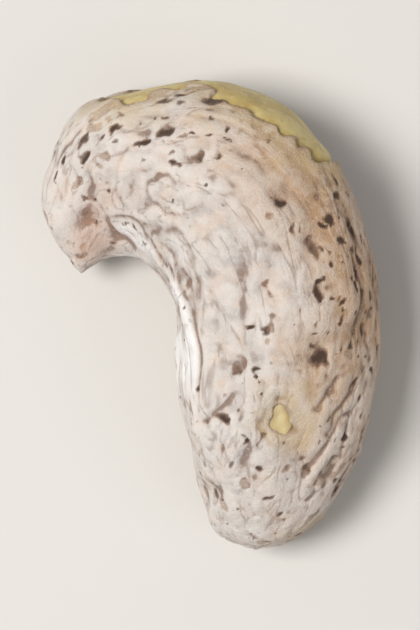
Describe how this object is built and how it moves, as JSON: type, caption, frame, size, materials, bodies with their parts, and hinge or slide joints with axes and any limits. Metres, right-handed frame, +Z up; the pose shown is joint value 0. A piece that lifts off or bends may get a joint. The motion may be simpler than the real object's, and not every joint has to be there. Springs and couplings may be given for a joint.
{
  "type": "cashew nut in its skin",
  "caption": "Kidney-shaped roasted cashew nut in its papery skin, lying on its side, with a small beak at the blunt end and bare yellow patches where the skin has flaked off.",
  "frame": {"origin": "on the resting plane, under the middle of the overall box", "axes": "+Z up, the nut lying on its side; +Y along its length towards the crown of the bend and the beaked end; +X towards its back, with the notch open towards -X"},
  "size_m": [0.018, 0.025, 0.011],
  "materials": {
    "nut_skin": "matte"
  },
  "bodies": {
    "root": {"cashew_nut": "nut_skin"}
  },
  "joints": []
}
